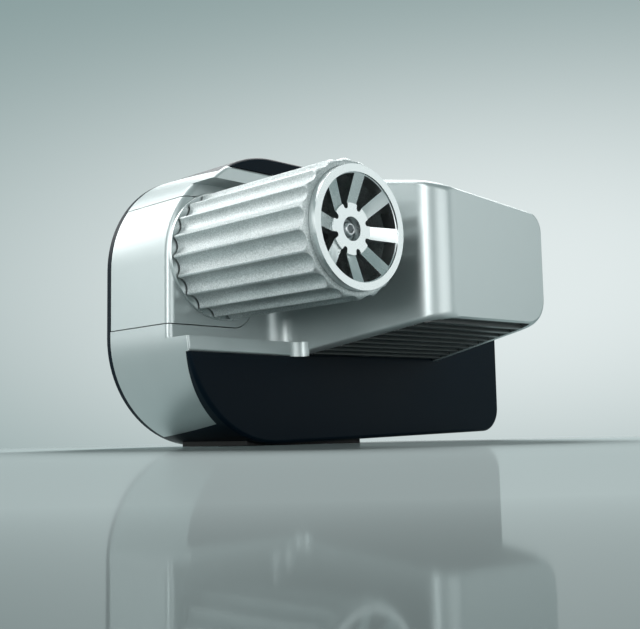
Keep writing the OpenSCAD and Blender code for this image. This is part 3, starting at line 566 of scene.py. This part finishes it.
def floor_sheet(tree, painted_shade):
    """A matt floor with a share of gloss, its colour mixed towards painted shade by painted_shade."""
    matt = tree.nodes.new("ShaderNodeBsdfDiffuse")
    tree.links.new(mix_colour(tree, painted_shade, FLOOR_PALE, FLOOR_PAINTED_SHADE), matt.inputs["Color"])
    gloss = tree.nodes.new("ShaderNodeBsdfGlossy")
    gloss.inputs["Color"].default_value = FLOOR_GLOSS_TINT
    gloss.inputs["Roughness"].default_value = FLOOR_GLOSS_ROUGH
    sheet = mix_shader(tree, matt.outputs["BSDF"], gloss.outputs["BSDF"])
    sheet.inputs["Fac"].default_value = FLOOR_GLOSS
    return sheet.outputs["Shader"]


def floor_material():
    """A floor that fades into the background behind and far from the part."""
    mat, tree, shader = new_material("studio_floor")
    tree.nodes.remove(shader)
    coords = object_coords(tree)
    cloud = math_node(tree, "MULTIPLY", noise(tree, coords, CLOUD_SCALE, CLOUD_DETAIL), CLOUD_SHIFT)
    back = vector_math(tree, "DOT_PRODUCT", coords, level(CAMERA_FORWARD))
    depth = math_node(tree, "ADD", back, cloud)
    # The floor's colour goes over to painted shade close to the camera, standing in for the light falling
    # off
    sheet = floor_sheet(tree, spread(tree, depth, 1.0, 0.0, *FLOOR_SHADE_DEPTHS))
    clear = tree.nodes.new("ShaderNodeBsdfTransparent").outputs["BSDF"]
    fade = mix_shader(tree, sheet, clear)
    behind = spread(tree, depth, 0.0, 1.0, *FLOOR_FADE, smooth=True)
    beyond = spread(tree, vector_math(tree, "LENGTH", coords), 0.0, 1.0, *FLOOR_REACH, smooth=True)
    tree.links.new(math_node(tree, "MAXIMUM", behind, beyond), fade.inputs["Fac"])
    tree.links.new(fade.outputs["Shader"], tree.nodes["Material Output"].inputs["Surface"])
    return mat


def make_floor():
    bm = bmesh.new()
    bmesh.ops.create_circle(bm, cap_ends=True, radius=FLOOR_R, segments=FLOOR_SIDES)
    obj = add_object("floor", bm)
    obj.data.materials.append(floor_material())
    return obj


# Background: its brightest part, across the view and up it, and how fast it darkens
GLOW_ACROSS = 0.16
GLOW_UP = 0.14
GLOW_STRETCH = 0.38
GLOW_REACH = (0.02, 0.33)
GLOW_PALE = (0.75, 0.82, 0.82)
GLOW_DIM = (0.25, 0.34, 0.34)
AMBIENT = 0.09
AMBIENT_TINT = (0.82, 0.88, 0.88, 1)


def square(tree, value):
    return math_node(tree, "POWER", math_node(tree, "ABSOLUTE", value), 2.0)


def glow_colour(tree):
    """Colour of the background in the direction of a look."""
    look = tree.nodes.new("ShaderNodeTexCoord").outputs["Generated"]
    across = vector_math(tree, "DOT_PRODUCT", look, level(CAMERA_RIGHT))
    side = math_node(tree, "MULTIPLY", math_node(tree, "SUBTRACT", across, GLOW_ACROSS), GLOW_STRETCH)
    rise = math_node(tree, "SUBTRACT", vector_math(tree, "DOT_PRODUCT", look, (0, 0, 1)), GLOW_UP)
    apart = math_node(tree, "POWER", math_node(tree, "ADD", square(tree, side), square(tree, rise)), 0.5)
    dim = spread(tree, apart, 0.0, 1.0, *GLOW_REACH, smooth=True)
    return mix_colour(tree, dim, GLOW_PALE, GLOW_DIM)


def seen_rays(tree):
    """1 for rays of the camera and of reflections, 0 for soft light."""
    path = tree.nodes.new("ShaderNodeLightPath").outputs
    seen = math_node(tree, "MAXIMUM", path["Is Camera Ray"], path["Is Glossy Ray"])
    return math_node(tree, "MAXIMUM", seen, path["Is Transmission Ray"])


def make_world():
    """Soft ambient light, behind which the camera and reflections see a pale glow."""
    world = bpy.data.worlds.new("studio")
    scene.world = world
    world.use_nodes = True
    tree = world.node_tree
    ambient = tree.nodes["Background"]
    ambient.inputs["Color"].default_value = AMBIENT_TINT
    ambient.inputs["Strength"].default_value = AMBIENT
    glow = tree.nodes.new("ShaderNodeBackground")
    tree.links.new(glow_colour(tree), glow.inputs["Color"])
    mix = mix_shader(tree, ambient.outputs["Background"], glow.outputs["Background"])
    tree.links.new(seen_rays(tree), mix.inputs["Fac"])
    tree.links.new(mix.outputs["Shader"], tree.nodes["World Output"].inputs["Surface"])


# Lamps: name, place, size and watts. One lights the floor alone, and the others the part alone
LAMP_AIM = Vector((0.0, 0.0, 0.09))
FLOOR_LAMP = ("floor_lamp", (-3.00, 3.00, 3.20), (1.6, 1.6), 250)
PART_LAMPS = (
    ("top", (-0.35, 0.40, 1.05), (1.1, 1.1), 14),
    ("key", (0.00, -1.15, 0.85), (0.5, 0.6), 2.2),
    ("edge_strip", (0.25, -1.15, 0.30), (0.24, 0.8), 3.9),
    ("corner_card", (1.22, -0.30, 0.25), (1.0, 0.5), 2.8),
    ("side_card", (-0.90, -0.90, 0.30), (0.5, 0.5), 1.1),
    ("left_card", (-0.92, -0.40, 0.88), (0.45, 0.9), 5.9),
    ("end_card", (0.95, 0.85, 0.40), (0.7, 0.7), 1.35),
)


def area_light(name, place, size, power):
    data = bpy.data.lights.new(name, "AREA")
    data.shape = "RECTANGLE"
    data.size, data.size_y = size
    data.energy = power
    obj = bpy.data.objects.new(name, data)
    scene.collection.objects.link(obj)
    obj.location = place
    obj.rotation_euler = (LAMP_AIM - Vector(place)).to_track_quat("-Z", "Y").to_euler()
    obj.visible_camera = False
    return obj


def link_floor(lamp, stage, state):
    """Keeps a lamp's light off the floor, or on it alone."""
    linked = bpy.data.collections.new("linked_" + lamp.name)
    linked.objects.link(stage)
    lamp.light_linking.receiver_collection = linked
    linked.collection_objects[0].light_linking.link_state = state


make_camera()
paint_nodes()
make_roller()
make_cap_screw()
for node, width in EDGE_ROUNDS.items():
    softened(node, width, WIDE_ROUNDS.get(node, ()))
floor = make_floor()
make_world()
link_floor(area_light(*FLOOR_LAMP), floor, "INCLUDE")
for lamp in PART_LAMPS:
    link_floor(area_light(*lamp), floor, "EXCLUDE")
